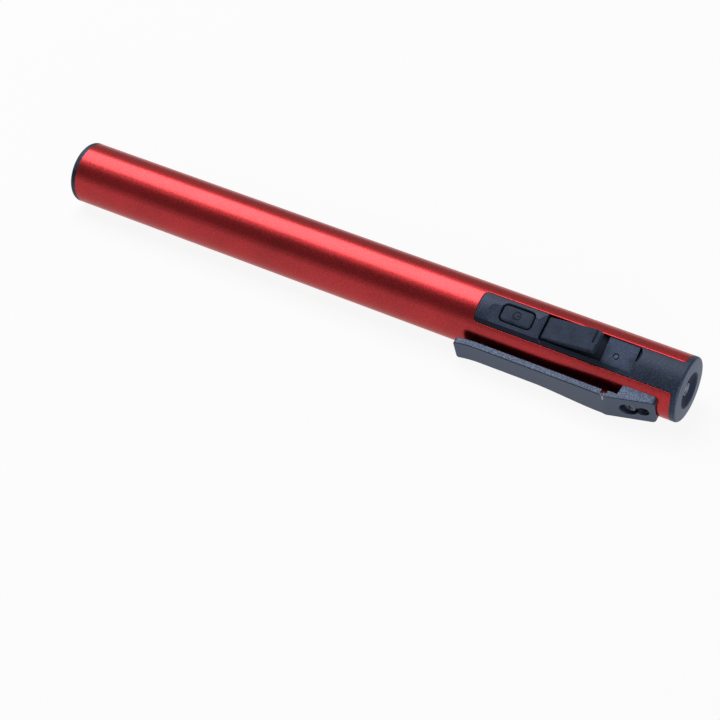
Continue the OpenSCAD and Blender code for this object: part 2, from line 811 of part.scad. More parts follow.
// Open ring and bar, the sign for power
module power_symbol() {
    reach = symbol_d / 2;
    difference() {
        circle(reach);
        circle(reach - symbol_line);
        translate([-1.5 * symbol_line, 0]) square([3 * symbol_line, reach]);
    }
    translate([-symbol_line / 2, reach / 6]) square([symbol_line, reach]);
}

module power_button() {
    rim = button_rim;
    stem_z = switch_top_z + plunger_proud + fit_gap;
    color(rubber) lay() translate([button_x, 0, 0]) difference() {
        union() {
            translate([0, 0, rim_top_z - tiny]) linear_extrude(button_top_z - rim_top_z + tiny)
                rounded_rect(button_l, button_w, button_corner);
            translate([0, 0, rim_top_z - rim_t]) linear_extrude(rim_t)
                rounded_rect(button_l + 2 * rim, button_w + 2 * rim, button_corner + rim);
            translate([0, 0, stem_z]) cylinder(h = rim_top_z - rim_t - stem_z + tiny, r = stem_r);
        }
        translate([0, 0, button_top_z - symbol_depth]) linear_extrude(past) rotate(-90) power_symbol();
    }
}

// Flap as it lies closed in its bed, hinge at the button's side
module closed_flap() {
    top_z = hinge_z + hinge_r;
    under_z = hinge_z - hinge_r;
    end_x = hinge_x + flap_l;
    bend = 0.5;
    half = flap_w / 2;
    difference() {
        intersection() {
            union() {
                translate([hinge_x, half, hinge_z]) rotate([90, 0, 0]) cylinder(h = flap_w, r = hinge_r);
                block([hinge_x, -half, under_z], [end_x, half, top_z]);
            }
            linear_extrude(barrel_d) polygon(concat(
                [[bed_x, -half - tiny]],
                arc([end_x - bend, -half + bend], bend, -90, 0),
                arc([end_x - bend, half - bend], bend, 0, 90),
                [[bed_x, half + tiny]]
            ));
        }
        block([end_x - tab_l, half - tab_w, top_z - tab_step], [end_x + past, half + past, top_z + past]);
    }
    translate([socket_x, 0, under_z - flap_plug]) linear_extrude(flap_plug + tiny)
        stadium(socket_l - 2 * socket_wall - 6 * run_gap, socket_w - 2 * socket_wall - 4 * run_gap);
}

module port_flap() {
    hinge = [hinge_x, 0, hinge_z];
    color(rubber) lay() translate(hinge) rotate([0, -flap_ajar, 0]) translate(-hinge) closed_flap();
}

// Stud of the flap's anchor, grown by a gap for its hole
module anchor_stud(gap, from, to) {
    half_t = anchor_t / 2 + gap;
    half_w = anchor_w / 2 + gap;
    block([hinge_x - half_t, -half_w, from], [hinge_x + half_t, half_w, to]);
}

module flap_anchor() {
    top_z = roof_z - fit_gap;
    under_z = top_z - barb_h;
    barb_x = hinge_x - anchor_t / 2 - barb_reach;
    color(rubber) lay() {
        anchor_stud(0, under_z, bed_z - fit_gap);
        block([barb_x, -barb_w / 2, under_z], [hinge_x, barb_w / 2, top_z]);
    }
}

barrel_tube();
head_moulding();
head_lens();
emitter_led();
led_board();
led_leads();
carrier_tray();
driver_board();
driver_chips();
charge_socket();
socket_insulator();
switch_body();
switch_plunger();
indicator_led();
indicator_light_pipe();
battery_cell();
cell_sleeve();
cell_tabs();
protection_board();
battery_leads();
cell_foam();
tail_cap();
tail_o_ring();
clip_foot();
clip_arm();
clip_screw();
power_button();
port_flap();
flap_anchor();
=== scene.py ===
import json
import math

import bmesh
import bpy
from mathutils import Matrix, Vector


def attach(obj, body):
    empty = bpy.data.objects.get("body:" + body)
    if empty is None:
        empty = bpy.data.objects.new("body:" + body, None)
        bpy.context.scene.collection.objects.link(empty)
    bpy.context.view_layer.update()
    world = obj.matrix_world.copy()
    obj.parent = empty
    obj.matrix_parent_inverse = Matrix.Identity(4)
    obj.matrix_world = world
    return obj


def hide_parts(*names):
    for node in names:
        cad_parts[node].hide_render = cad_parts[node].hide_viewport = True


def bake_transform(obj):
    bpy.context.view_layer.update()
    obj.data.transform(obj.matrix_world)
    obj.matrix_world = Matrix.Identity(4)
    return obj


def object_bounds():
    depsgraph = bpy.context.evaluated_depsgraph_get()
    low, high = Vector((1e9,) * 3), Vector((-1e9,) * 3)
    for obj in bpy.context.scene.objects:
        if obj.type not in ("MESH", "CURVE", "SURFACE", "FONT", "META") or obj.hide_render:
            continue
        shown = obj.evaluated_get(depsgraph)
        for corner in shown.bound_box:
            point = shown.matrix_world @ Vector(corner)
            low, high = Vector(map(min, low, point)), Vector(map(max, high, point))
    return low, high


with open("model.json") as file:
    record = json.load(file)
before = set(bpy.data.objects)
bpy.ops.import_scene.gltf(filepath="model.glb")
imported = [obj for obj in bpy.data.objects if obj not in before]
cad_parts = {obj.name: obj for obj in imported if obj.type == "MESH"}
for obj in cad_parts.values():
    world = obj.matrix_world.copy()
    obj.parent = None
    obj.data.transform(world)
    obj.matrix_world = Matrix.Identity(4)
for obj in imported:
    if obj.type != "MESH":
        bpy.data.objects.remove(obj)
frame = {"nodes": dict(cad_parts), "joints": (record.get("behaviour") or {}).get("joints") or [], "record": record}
cad_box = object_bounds()
nodes = frame["nodes"]
joints = {joint["name"]: joint for joint in frame["joints"]}
scene = bpy.context.scene
scene.view_settings.view_transform = "Standard"

MM = 0.001

# The panel's normal and the clip's own up direction, as turns about the barrel's axis
press = joints["button_press"]["axis"]
PANEL_TURN = Matrix.Rotation(math.atan2(press[1], -press[2]), 4, "X")
TO_PANEL = PANEL_TURN.inverted()
flex = joints["clip_flex"]["axis"]
CLIP_TURN = Matrix.Rotation(math.atan2(flex[2], flex[1]), 4, "X")
TO_CLIP = CLIP_TURN.inverted()

# Sizes of the solids in millimetres, as in the part's source
BARREL_R = 7.0
TUBE_X = 1.4
TUBE_WALL = 1.0
TUBE_SIDES = 90
SLOT_X = 104.3
SLOT_LOW = -3.815
SLOT_HIGH = 3.035
SLOT_CORNER = 1.1
MOUTH_CORNER = 0.5
DISH_R = 4.0
LENS_CLEAR_R = 1.05
LENS_PROFILE = (
    (148.05, 0), (148.05, 2.5), (148.95, 2.5), (148.95, 1.36), (149.72, 1.36), (149.82, 1.32), (149.85, 1.25),
    (149.82, 1.18), (149.6, 1.1), (149.44, 1.04), (149.5, 0.89), (149.57, 0.72), (149.63, 0.54), (149.67, 0.37),
    (149.69, 0.18), (149.7, 0),
)
SCREW_X = 141.2
SCREW_BORE_R = 0.8
HEAD_X = 149.1
DECK_Z = 6.3
BED_X = 118.9
BED_Z = 5.0
PLATE_X = 132.6
PLATE_END_X = 139.6
PLATE_Z = 5.45
HINGE_X = 120.025
HINGE_Z = 5.875
FLAP_T = 1.55
FLAP_W = 4.9
FLAP_AJAR = 14
FLAP_PLACE = (
    PANEL_TURN @ Matrix.Translation((HINGE_X, 0, HINGE_Z)) @ Matrix.Rotation(math.radians(-FLAP_AJAR), 4, "Y")
)
TAB_X = 11.1
TAB_SIDE = -0.65
BUTTON_X = 113.0
BUTTON_L = 7.0
BUTTON_W = 3.55
BUTTON_CORNER = 0.9
BUTTON_TOP = 6.78
BUTTON_SKIRT = 4.6
BUTTON_CROWN = 0.1
BUTTON_RIM = 0.42
SYMBOL_R = 0.83
SYMBOL_LINE = 0.26
SYMBOL_DEPTH = 0.12
CLIP_ROOT_W = 7.5
CLIP_SKIN = 0.5
CLIP_PEAK = 9.8
CLIP_TIP_X = 101.9
CLIP_END_X = 146.5
GROOVE_X = 136.1
GROOVE_W = 1.3
FOOT_X = GROOVE_X + GROOVE_W / 2
FOOT_SLOPE = 0.2256
WEB_L = 0.9
WEB_INSET = 0.02

# Widths of the rounded edges in millimetres
SLOT_ROUND = 0.25
WELL_ROUND = 0.2
PLATE_ROUND = 0.12
PLUG_ROUND = 0.06
FLAP_ROUND = 0.2
SCREW_ROUND = 0.06
CLIP_ROUND = 0.26

# Meshes: angles in degrees above which an edge can be rounded or stays sharp, and how close points are merged
ROUNDED = 28
CREASE = 24
DECK_CREASE = 11
CREST_CREASE = 8
MERGE = 0.0005 * MM
TURNED_SIDES = 48
BUTTON_STEP = 0.06
GROOVE_STEPS = 8


# Camera

CAMERA_AT = Vector((0.248212, -0.288411, 0.253332))
CAMERA_YAW = -0.5451534
CAMERA_PITCH = 0.6900905
CAMERA_LENS = 97.5


def make_camera():
    data = bpy.data.cameras.new("camera")
    data.lens = CAMERA_LENS
    data.sensor_width = 36
    data.clip_start = 0.01
    camera = bpy.data.objects.new("camera", data)
    scene.collection.objects.link(camera)
    ahead = Vector((
        math.sin(CAMERA_YAW) * math.cos(CAMERA_PITCH),
        math.cos(CAMERA_YAW) * math.cos(CAMERA_PITCH),
        -math.sin(CAMERA_PITCH),
    ))
    right = Vector((math.cos(CAMERA_YAW), -math.sin(CAMERA_YAW), 0))
    turn = Matrix((right, right.cross(ahead), -ahead)).transposed().to_4x4()
    camera.matrix_world = Matrix.Translation(CAMERA_AT) @ turn
    scene.camera = camera


make_camera()


# Shader nodes

class Signal:
    """An output socket, so that shader maths can be written as expressions"""

    def __init__(self, finish, socket):
        self.finish = finish
        self.socket = socket

    def maths(self, operation, *values):
        return self.finish.node("ShaderNodeMath", {"operation": operation}, dict(enumerate(values)))

    def __add__(self, other):
        return self.maths("ADD", self, other)

    def __radd__(self, other):
        return self.maths("ADD", other, self)

    def __sub__(self, other):
        return self.maths("SUBTRACT", self, other)

    def __rsub__(self, other):
        return self.maths("SUBTRACT", other, self)

    def __mul__(self, other):
        return self.maths("MULTIPLY", self, other)

    def __rmul__(self, other):
        return self.maths("MULTIPLY", other, self)

    def __abs__(self):
        return self.maths("ABSOLUTE", self)

    def most(self, other):
        return self.maths("MAXIMUM", self, other)

    def sine(self):
        return self.maths("SINE", self)

    def root(self):
        return self.maths("SQRT", self)

    def rise(self, low, high):
        """0 below low and 1 above high, with a soft step between them"""
        return self.finish.node(
            "ShaderNodeMapRange", {"interpolation_type": "SMOOTHSTEP"}, {0: self, 1: low, 2: high}
        )


class Finish:
    """The node tree of one material, or of the studio's world"""

    def __init__(self, name, holder=None):
        self.holder = holder or bpy.data.materials.new(name)
        self.holder.use_nodes = True
        self.tree = self.holder.node_tree
        self.tree.nodes.clear()

    def node(self, kind, settings=None, sockets=None, out=0):
        made = self.tree.nodes.new(kind)
        for name, value in (settings or {}).items():
            setattr(made, name, value)
        for name, value in (sockets or {}).items():
            entry = made.inputs[name]
            if isinstance(value, Signal):
                self.tree.links.new(value.socket, entry)
            elif entry.type == "RGBA":
                entry.default_value = (*value, 1)
            else:
                entry.default_value = value
        return Signal(self, made.outputs[out]) if made.outputs else None

    def place(self):
        return self.node("ShaderNodeTexCoord", out="Object")

    def axis(self, direction):
        """How far along a direction a point lies, in millimetres"""
        return self.dot(self.place(), Vector(direction) / MM)

    def facing(self, direction):
        """How squarely a surface faces a direction, from -1 to 1"""
        return self.dot(self.node("ShaderNodeNewGeometry", out="True Normal"), direction)

    def reach(self):
        """How far a point lies from the barrel's axis, in millimetres"""
        across = self.axis((0, 1, 0))
        above = self.axis((0, 0, 1))
        return (across * across + above * above).root()

    def dot(self, vector, direction):
        return self.node(
            "ShaderNodeVectorMath", {"operation": "DOT_PRODUCT"}, {0: vector, 1: direction}, out="Value"
        )

    def noise(self, per_mm, detail=2, roughness=0.5, at=None):
        sockets = {"Vector": at or self.place(), "Scale": per_mm / MM, "Detail": detail, "Roughness": roughness}
        return self.node("ShaderNodeTexNoise", None, sockets)

    def cells(self, per_mm, feature="F1"):
        return self.node(
            "ShaderNodeTexVoronoi", {"feature": feature}, {"Vector": self.place(), "Scale": per_mm / MM}, out="Distance"
        )

    def mix(self, share, low, high):
        return self.node("ShaderNodeMix", {"data_type": "RGBA"}, {0: share, 6: low, 7: high}, out=2)

    def bump(self, height, depth_mm, strength):
        return self.node("ShaderNodeBump", None, {"Height": height, "Distance": depth_mm * MM, "Strength": strength})

    def surface(self, **sockets):
        named = {name.replace("_", " "): value for name, value in sockets.items()}
        self.node("ShaderNodeOutputMaterial", None, {0: self.node("ShaderNodeBsdfPrincipled", None, named)})
        return self.holder


# Finishes

BLUE_SHEEN = (0.57, 0.69, 1.0)


def red_anodised():
    f = Finish("red_anodised")
    blasted = f.noise(3.0, 2, 0.6)
    grit = f.noise(5.5, 1)
    cloud = f.noise(0.09, 2)
    tone = 0.5 * blasted + 0.3 * grit + 0.2 * cloud
    return f.surface(
        Base_Color=f.mix(tone.rise(0.34, 0.66), (0.25, 0.004, 0.006), (0.45, 0.012, 0.018)),
        Metallic=1.0, Roughness=0.22 + 0.14 * blasted, Specular_Tint=(0.75, 0.14, 0.16),
        Coat_Weight=0.6, Coat_Roughness=0.22, Normal=f.bump(0.6 * blasted + 0.4 * grit, 0.045, 0.5),
    )


def black_plastic():
    f = Finish("black_plastic")
    spark = f.noise(2.6, 3, 0.65)
    cloud = f.noise(0.25, 2)
    fleck = f.noise(4.6, 1).rise(0.58, 0.72)
    # The indicator plate's own texture is coarser and paler
    normal = PANEL_TURN.to_3x3() @ Vector((0, 0, 1))
    along = f.axis((1, 0, 0))
    level = f.axis(normal)
    plate = along.rise(PLATE_X, PLATE_X + 0.1) * (1 - along.rise(PLATE_END_X - 0.1, PLATE_END_X))
    plate = plate * (1 - level.rise(PLATE_Z + 0.4, PLATE_Z + 0.6)) * f.facing(normal).rise(0.9, 0.95)
    # The lip below the flat is smooth, and painted darker as painted shade; the flap's bed and the lamp's dish are
    # matt, and painted darker as painted shade;
    # the dish's rim is painted a little paler, as painted light
    below = 1 - f.axis(PANEL_TURN.to_3x3() @ Vector((0, 1, 0))).rise(-3.05, -2.85)
    lip = below * (1 - along.rise(PLATE_X, PLATE_END_X)) * level.rise(4.5, 4.7)
    front = along.rise(HEAD_X + 0.3, HEAD_X + 0.4)
    outside = f.reach().rise(DISH_R - 0.45, DISH_R + 0.2)
    dish = front * (1 - outside)
    bed = along.rise(BED_X, BED_X + 0.1) * (1 - along.rise(PLATE_X - 0.1, PLATE_X)) * level.rise(3.5, 4)
    bed = bed * (1 - level.rise(BED_Z + 0.15, BED_Z + 0.3))
    matt = dish.most(bed)
    rim = front * outside * f.facing((1, 0, 0)).rise(0.5, 0.9)
    # Painted shade: the lip, the bed and the dish take the darker colours below
    painted_shade = lip.most(matt)
    tone = (0.65 * spark + 0.35 * cloud).rise(0.3, 0.7)
    smooth = f.mix(tone, (0.005, 0.0075, 0.0145), (0.014, 0.0195, 0.035))
    grained = f.mix(tone, (0.02, 0.028, 0.053), (0.056, 0.075, 0.124))
    shade_colour = f.mix(dish, (0.003, 0.0045, 0.0085), (0.0055, 0.007, 0.019))
    base = f.mix(painted_shade, f.mix(plate, smooth, grained), shade_colour)
    return f.surface(
        # The rim's paler colour is painted light on the face towards the lamp's end
        Base_Color=f.mix(0.5 * fleck * (1 - painted_shade), f.mix(rim, base, (0.03, 0.045, 0.088)), (0.09, 0.115, 0.16)),
        Roughness=0.4 + 0.18 * spark - 0.12 * lip + 0.3 * matt - 0.05 * rim,
        Specular_IOR_Level=0.38, Specular_Tint=BLUE_SHEEN,
        Normal=f.bump(spark * (0.8 + 0.6 * plate), 0.07, 0.5),
    )


def rubber(name, sunk):
    """Matt rubber, painted darker where something is sunk into it, as painted shade"""
    f = Finish(name)
    skin = f.noise(3.2, 3, 0.6)
    dust = f.noise(0.5, 3, 0.6)
    base = f.mix((0.55 * skin + 0.45 * dust).rise(0.34, 0.66), (0.004, 0.0065, 0.0125), (0.02, 0.028, 0.049))
    return f.surface(
        # Painted shade in the sunk strokes or the tab's groove
        Base_Color=f.mix(sunk(f), base, (0.002, 0.003, 0.006)),
        Roughness=0.5 + 0.16 * skin, Specular_IOR_Level=0.31, Specular_Tint=BLUE_SHEEN,
        Normal=f.bump(skin, 0.05, 0.5),
    )


def power_sign(f):
    """1 in the strokes of the power sign on the button, an open ring and a bar"""
    up = f.axis((1, 0, 0)) - BUTTON_X
    across = f.axis(PANEL_TURN.to_3x3() @ Vector((0, 1, 0)))
    reach = (up * up + across * across).root()
    wide = SYMBOL_LINE / 2
    opening = up.rise(0, 0.1) * (1 - abs(across).rise(0.3, 0.4))
    ring = (1 - abs(reach - SYMBOL_R).rise(wide - 0.04, wide + 0.06)) * (1 - opening)
    bar = (1 - abs(across).rise(wide - 0.04, wide + 0.06)) * up.rise(0.1, 0.2) * (1 - up.rise(0.95, 1.05))
    return ring.most(bar)


def tab_groove(f):
    """1 in the groove at the foot of the flap's finger tab"""
    along, across = (FLAP_PLACE.col[i].to_3d() for i in (0, 1))
    from_hinge = f.axis(along) - along.dot(FLAP_PLACE.to_translation())
    beside = f.axis(across) - across.dot(FLAP_PLACE.to_translation())
    groove = from_hinge.rise(TAB_X - 0.1, TAB_X - 0.02) * (1 - from_hinge.rise(TAB_X + 0.2, TAB_X + 0.36))
    return groove * beside.rise(TAB_SIDE - 0.12, TAB_SIDE)


def clip_plastic():
    f = Finish("clip_plastic")
    up = CLIP_TURN.to_3x3()
    across = up @ Vector((0, 1, 0))
    height = f.axis(across)
    along = f.axis((1, 0, 0))
    # The long sides are rough; the rounded edges and the foot's wells are painted dark, as painted shade
    turned = abs(f.facing(across))
    near_side = abs(height).rise(2.3, 2.6)
    side = turned.rise(0.8, 0.95) * near_side
    edge = turned.rise(0.2, 0.4) * (1 - turned.rise(0.84, 0.92)) * near_side
    depth = CLIP_PEAK - FOOT_SLOPE * (along - FOOT_X) - f.axis(up @ Vector((0, 0, 1)))
    well = depth.rise(0.12, 0.5) * along.rise(FOOT_X + 1.2, FOOT_X + 1.4) * (1 - abs(height).rise(2.3, 2.4))
    spark = f.noise(3.6, 3, 0.75)
    fleck = spark.rise(0.4, 0.62)
    cloud = f.noise(0.2, 2)
    smooth = f.mix(cloud, (0.018, 0.026, 0.046), (0.028, 0.04, 0.07))
    rough = f.mix(fleck, (0.016, 0.022, 0.039), (0.14, 0.18, 0.26))
    # Painted shade: the rounded edges and the wells take a near-black colour
    edge_and_well_shade = f.mix(edge.most(well), f.mix(side, smooth, rough), (0.006, 0.009, 0.017))
    # Pale stress mark on the outer face where the groove thins the clip
    from_groove = abs(along - GROOVE_X)
    mark = (1 - from_groove.rise(0.06, 0.2)) * height.rise(1.9, 2.4) * (1 - height.rise(3.2, 3.5))
    pale = mark * f.noise(2.2, 2).rise(0.38, 0.5) * (1 - side)
    return f.surface(
        Base_Color=f.mix(pale, edge_and_well_shade, (0.55, 0.57, 0.6)),
        Roughness=0.42 + 0.08 * cloud + 0.1 * side, Specular_IOR_Level=0.55, Specular_Tint=BLUE_SHEEN,
        Normal=f.bump(spark * (0.1 + 0.9 * side), 0.1, 0.55),
    )


def smoked_pipe():
    f = Finish("smoked_pipe")
    haze = f.noise(2.5, 2)
    return f.surface(
        Base_Color=f.mix(haze, (0.02, 0.028, 0.046), (0.032, 0.042, 0.066)), Roughness=0.36 + 0.12 * haze,
        Specular_Tint=BLUE_SHEEN,
        Normal=f.bump(haze, 0.02, 0.3),
    )


def dark_screw():
    f = Finish("dark_screw")
    lines = f.noise(7, 2)
    return f.surface(
        Base_Color=f.mix(lines, (0.06, 0.07, 0.095), (0.13, 0.15, 0.19)), Metallic=1.0,
        Roughness=0.26 + 0.18 * lines, Normal=f.bump(lines, 0.01, 0.4),
    )


def clear_lens():
    """Clear in the middle, with a frosted edge"""
    f = Finish("clear_lens")
    wave = f.noise(0.8, 2)
    grain = f.noise(5, 2)
    clear = f.node("ShaderNodeBsdfPrincipled", None, {
        "Base Color": f.mix(wave, (0.93, 0.95, 0.97), (0.98, 0.98, 0.99)), "Roughness": 0.03 + 0.04 * wave,
        "Transmission Weight": 1.0, "IOR": 1.58,
    })
    frosted = f.node("ShaderNodeBsdfPrincipled", None, {
        "Base Color": f.mix(grain, (0.11, 0.14, 0.2), (0.16, 0.2, 0.28)), "Roughness": 0.25 + 0.1 * grain,
        "Normal": f.bump(grain, 0.01, 0.3),
    })
    edge = f.reach().rise(LENS_CLEAR_R - 0.06, LENS_CLEAR_R + 0.06)
    both = f.node("ShaderNodeMixShader", None, {0: edge, 1: clear, 2: frosted})
    f.node("ShaderNodeOutputMaterial", None, {0: both})
    return f.holder


def moulded(name, low, high, rough, per_mm, depth_mm):
    """A solid with a cloudy colour and a fine grain"""
    f = Finish(name)
    grain = f.noise(per_mm, 3, 0.6)
    cloud = f.noise(per_mm / 12, 2)
    return f.surface(
        Base_Color=f.mix(0.5 * grain + 0.5 * cloud, low, high), Roughness=rough - 0.08 + 0.16 * grain,
        Normal=f.bump(grain, depth_mm, 0.5),
    )


def drawn_metal(name, low, high, rough):
    """Sheet metal with fine lines along the barrel"""
    f = Finish(name)
    stretched = f.node("ShaderNodeVectorMath", {"operation": "MULTIPLY"}, {0: f.place(), 1: (0.05, 1, 1)})
    lines = f.noise(9, 2, at=stretched)
    cloud = f.noise(0.4, 2)
    return f.surface(
        Base_Color=f.mix(0.5 * lines + 0.5 * cloud, low, high), Metallic=1.0, Roughness=rough - 0.1 + 0.2 * lines,
        Normal=f.bump(lines, 0.008, 0.4),
    )


def circuit_board(name, low, high, copper):
    """Solder mask over traces, with a fine glass weave"""
    f = Finish(name)
    across = (9 * f.axis((0, 1, 0))).sine()
    along = (9 * f.axis((1, 0, 0))).sine()
    weave = 0.5 + 0.25 * across + 0.25 * along
    traces = f.cells(0.55, "DISTANCE_TO_EDGE").rise(0.05, 0.09)
    return f.surface(
        Base_Color=f.mix(traces, copper, f.mix(weave, low, high)), Roughness=0.32 + 0.14 * weave,
        Normal=f.bump(0.7 * (1 - traces) + 0.3 * weave, 0.02, 0.5),
    )


def open_foam():
    f = Finish("grey_foam")
    pores = f.cells(2.2).rise(0.1, 0.55)
    return f.surface(
        Base_Color=f.mix(pores, (0.05, 0.05, 0.055), (0.22, 0.22, 0.23)), Roughness=0.85 + 0.1 * pores,
        Normal=f.bump(pores, 0.15, 0.8),
    )


FINISHES = {
    "red_anodised": red_anodised(),
    "black_plastic": black_plastic(),
    "black_rubber": rubber("black_rubber", tab_groove),
    "button_rubber": rubber("button_rubber", power_sign),
    "clip_plastic": clip_plastic(),
    "clear_lens": clear_lens(),
    "smoked_pipe": smoked_pipe(),
    "dark_screw": dark_screw(),
    "led_phosphor": moulded("led_phosphor", (0.75, 0.52, 0.08), (0.9, 0.7, 0.18), 0.5, 3, 0.02),
    "white_board": circuit_board("white_board", (0.72, 0.72, 0.7), (0.82, 0.82, 0.8), (0.66, 0.66, 0.64)),
    "green_board": circuit_board("green_board", (0.008, 0.07, 0.03), (0.012, 0.10, 0.045), (0.02, 0.16, 0.06)),
    "chip_epoxy": moulded("chip_epoxy", (0.012, 0.012, 0.013), (0.025, 0.025, 0.027), 0.55, 4, 0.02),
    "pale_plastic": moulded("pale_plastic", (0.55, 0.56, 0.55), (0.68, 0.69, 0.67), 0.4, 2, 0.01),
    "wire_insulation": moulded("wire_insulation", (0.35, 0.012, 0.012), (0.48, 0.02, 0.018), 0.42, 1.5, 0.01),
    "tray_plastic": moulded("tray_plastic", (0.02, 0.021, 0.023), (0.035, 0.036, 0.04), 0.5, 3, 0.03),
    "socket_steel": drawn_metal("socket_steel", (0.55, 0.56, 0.58), (0.7, 0.71, 0.73), 0.3),
    "cell_can": drawn_metal("cell_can", (0.6, 0.61, 0.62), (0.75, 0.76, 0.77), 0.28),
    "blue_film": moulded("blue_film", (0.01, 0.06, 0.22), (0.015, 0.085, 0.3), 0.28, 0.8, 0.01),
    "grey_foam": open_foam(),
}
for subpart in frame["record"]["subparts"]:
    piece = nodes[subpart["node"]]
    piece.data.materials.clear()
    piece.data.materials.append(FINISHES[subpart["material_slot"]])
nodes["indicator_light_pipe"].data.materials[0] = FINISHES["smoked_pipe"]


# Pieces

def cad_copy(node):
    """The node's surface with its flat faces made whole"""
    bm = bmesh.new()
    bm.from_mesh(nodes[node].data)
    whole_faces(bm)
    return bm


def whole_faces(bm):
    bmesh.ops.remove_doubles(bm, verts=bm.verts, dist=MERGE)
    bmesh.ops.dissolve_limit(bm, angle_limit=math.radians(0.6), verts=bm.verts, edges=bm.edges)


def bent_edges(bm, angle, pick=None):
    """Edges that bend by more than an angle, or those of them that pick(middle) names"""
    return [
        edge for edge in bm.edges
        if edge.is_manifold and edge.calc_face_angle(0) > math.radians(angle)
        and (pick is None or pick((edge.verts[0].co + edge.verts[1].co) / 2))
    ]


def round_edges(bm, width, segments=3, pick=None, clamp=True):
    """Rounds the sharp edges, or those that pick(middle) names"""
    bmesh.ops.bevel(
        bm, geom=bent_edges(bm, ROUNDED, pick), offset=width * MM, offset_type="OFFSET", segments=segments,
        profile=0.5, affect="EDGES", clamp_overlap=clamp, miter_outer="ARC",
    )


def mark_creases(bm, angle, pick=None):
    for edge in bent_edges(bm, angle, pick):
        edge.smooth = False


def add_piece(name, bm, finish, slot, body, *stands_for):
    for face in bm.faces:
        face.smooth = True
    mark_creases(bm, CREASE)
    mesh = bpy.data.meshes.new(name)
    bm.to_mesh(mesh)
    bm.free()
    mesh.materials.append(FINISHES[finish])
    piece = bpy.data.objects.new(name, mesh)
    scene.collection.objects.link(piece)
    normals = piece.modifiers.new("normals", "WEIGHTED_NORMAL")
    normals.keep_sharp = True
    if body:
        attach(piece, body)
    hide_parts(*stands_for)
    return piece


def combined(operation, *solids):
    """Solids joined or cut into one"""
    parts = []
    for bm in solids:
        mesh = bpy.data.meshes.new("solid")
        bm.to_mesh(mesh)
        bm.free()
        parts.append(bpy.data.objects.new("solid", mesh))
        scene.collection.objects.link(parts[-1])
    for other in parts[1:]:
        step = parts[0].modifiers.new("step", "BOOLEAN")
        step.operation = operation
        step.solver = "EXACT"
        step.object = other
    bm = bmesh.new()
    bm.from_object(parts[0], bpy.context.evaluated_depsgraph_get())
    for part in parts:
        bpy.data.objects.remove(part)
    return bm


def arc(x, y, radius, start, end):
    """Points on an arc about (x, y), between two angles in degrees"""
    steps = 10
    angles = [math.radians(start + (end - start) * i / steps) for i in range(steps + 1)]
    return [(x + radius * math.cos(angle), y + radius * math.sin(angle)) for angle in angles]


def unrolled(y):
    """The way round the barrel from the panel's middle to a point beside it"""
    return BARREL_R * math.asin(y / BARREL_R)


def slot_outline():
    """The slot's rim from one side of its mouth to the other, in the panel's plane"""
    mouth_x = HEAD_X - MOUTH_CORNER
    end_x = SLOT_X + SLOT_CORNER
    return (
        arc(mouth_x, SLOT_LOW - MOUTH_CORNER, MOUTH_CORNER, 0, 90)
        + arc(end_x, SLOT_LOW + SLOT_CORNER, SLOT_CORNER, 270, 180)
        + arc(end_x, SLOT_HIGH - SLOT_CORNER, SLOT_CORNER, 180, 90)
        + arc(mouth_x, SLOT_HIGH + MOUTH_CORNER, MOUTH_CORNER, 270, 360)
    )


def rolled(x, way, depth):
    """A point of the flat sheet on the tube, with the slot's walls square to the panel"""
    radius = BARREL_R + depth
    edge = SLOT_HIGH if way > 0 else SLOT_LOW
    if abs(way) < abs(unrolled(edge)):
        angle = math.asin(BARREL_R * math.sin(way / BARREL_R) / radius)
    else:
        at_edge = math.asin(edge / radius)
        half_turn = math.copysign(math.pi, way)
        share = (way - unrolled(edge)) / (half_turn * BARREL_R - unrolled(edge))
        angle = at_edge + share * (half_turn - at_edge)
    return Vector((x, radius * math.sin(angle), radius * math.cos(angle)))


def barrel():
    """A flat sheet with the slot cut out and its rim rounded, rolled up into the tube"""
    half = math.pi * BARREL_R
    rim = [(x, unrolled(y)) for x, y in slot_outline()]
    outline = [(TUBE_X, -half), (HEAD_X, -half), *rim, (HEAD_X, half), (TUBE_X, half)]
    bm = bmesh.new()
    top = [bm.verts.new((x, way, 0)) for x, way in outline]
    under = [bm.verts.new((x, way, -TUBE_WALL)) for x, way in outline]
    bm.faces.new(top)
    bm.faces.new(under)
    for i in range(len(top)):
        bm.faces.new((top[i - 1], top[i], under[i], under[i - 1]))
    bmesh.ops.recalc_face_normals(bm, faces=bm.faces)
    slot_rim = [bm.edges.get((top[i], top[i + 1])) for i in range(2, len(rim) + 1)]
    bmesh.ops.bevel(bm, geom=slot_rim, offset=SLOT_ROUND, segments=8, profile=0.5, affect="EDGES")
    screw_way = TO_PANEL @ CLIP_TURN @ Vector((0, 0, BARREL_R))
    bore = bmesh.new()
    at_screw = Matrix.Translation((SCREW_X, BARREL_R * math.atan2(screw_way.y, screw_way.z), 0))
    bmesh.ops.create_cone(
        bore, cap_ends=True, segments=32, radius1=SCREW_BORE_R, radius2=SCREW_BORE_R, depth=4 * TUBE_WALL,
        matrix=at_screw,
    )
    bm = combined("DIFFERENCE", bm, bore)
    close = 1e-4
    seam = [face for face in bm.faces if abs(abs(face.calc_center_median().y) - half) < close]
    bmesh.ops.delete(bm, geom=seam, context="FACES")
    for i in range(1, TUBE_SIDES):
        bmesh.ops.bisect_plane(
            bm, geom=[*bm.verts, *bm.edges, *bm.faces], plane_co=(0, half * (2 * i / TUBE_SIDES - 1), 0),
            plane_no=(0, 1, 0), dist=close,
        )
    for vert in bm.verts:
        vert.co = PANEL_TURN @ rolled(*vert.co) * MM
    bmesh.ops.remove_doubles(bm, verts=bm.verts, dist=MERGE)
    return add_piece("barrel", bm, "red_anodised", "red_anodised", "light", "barrel_tube")


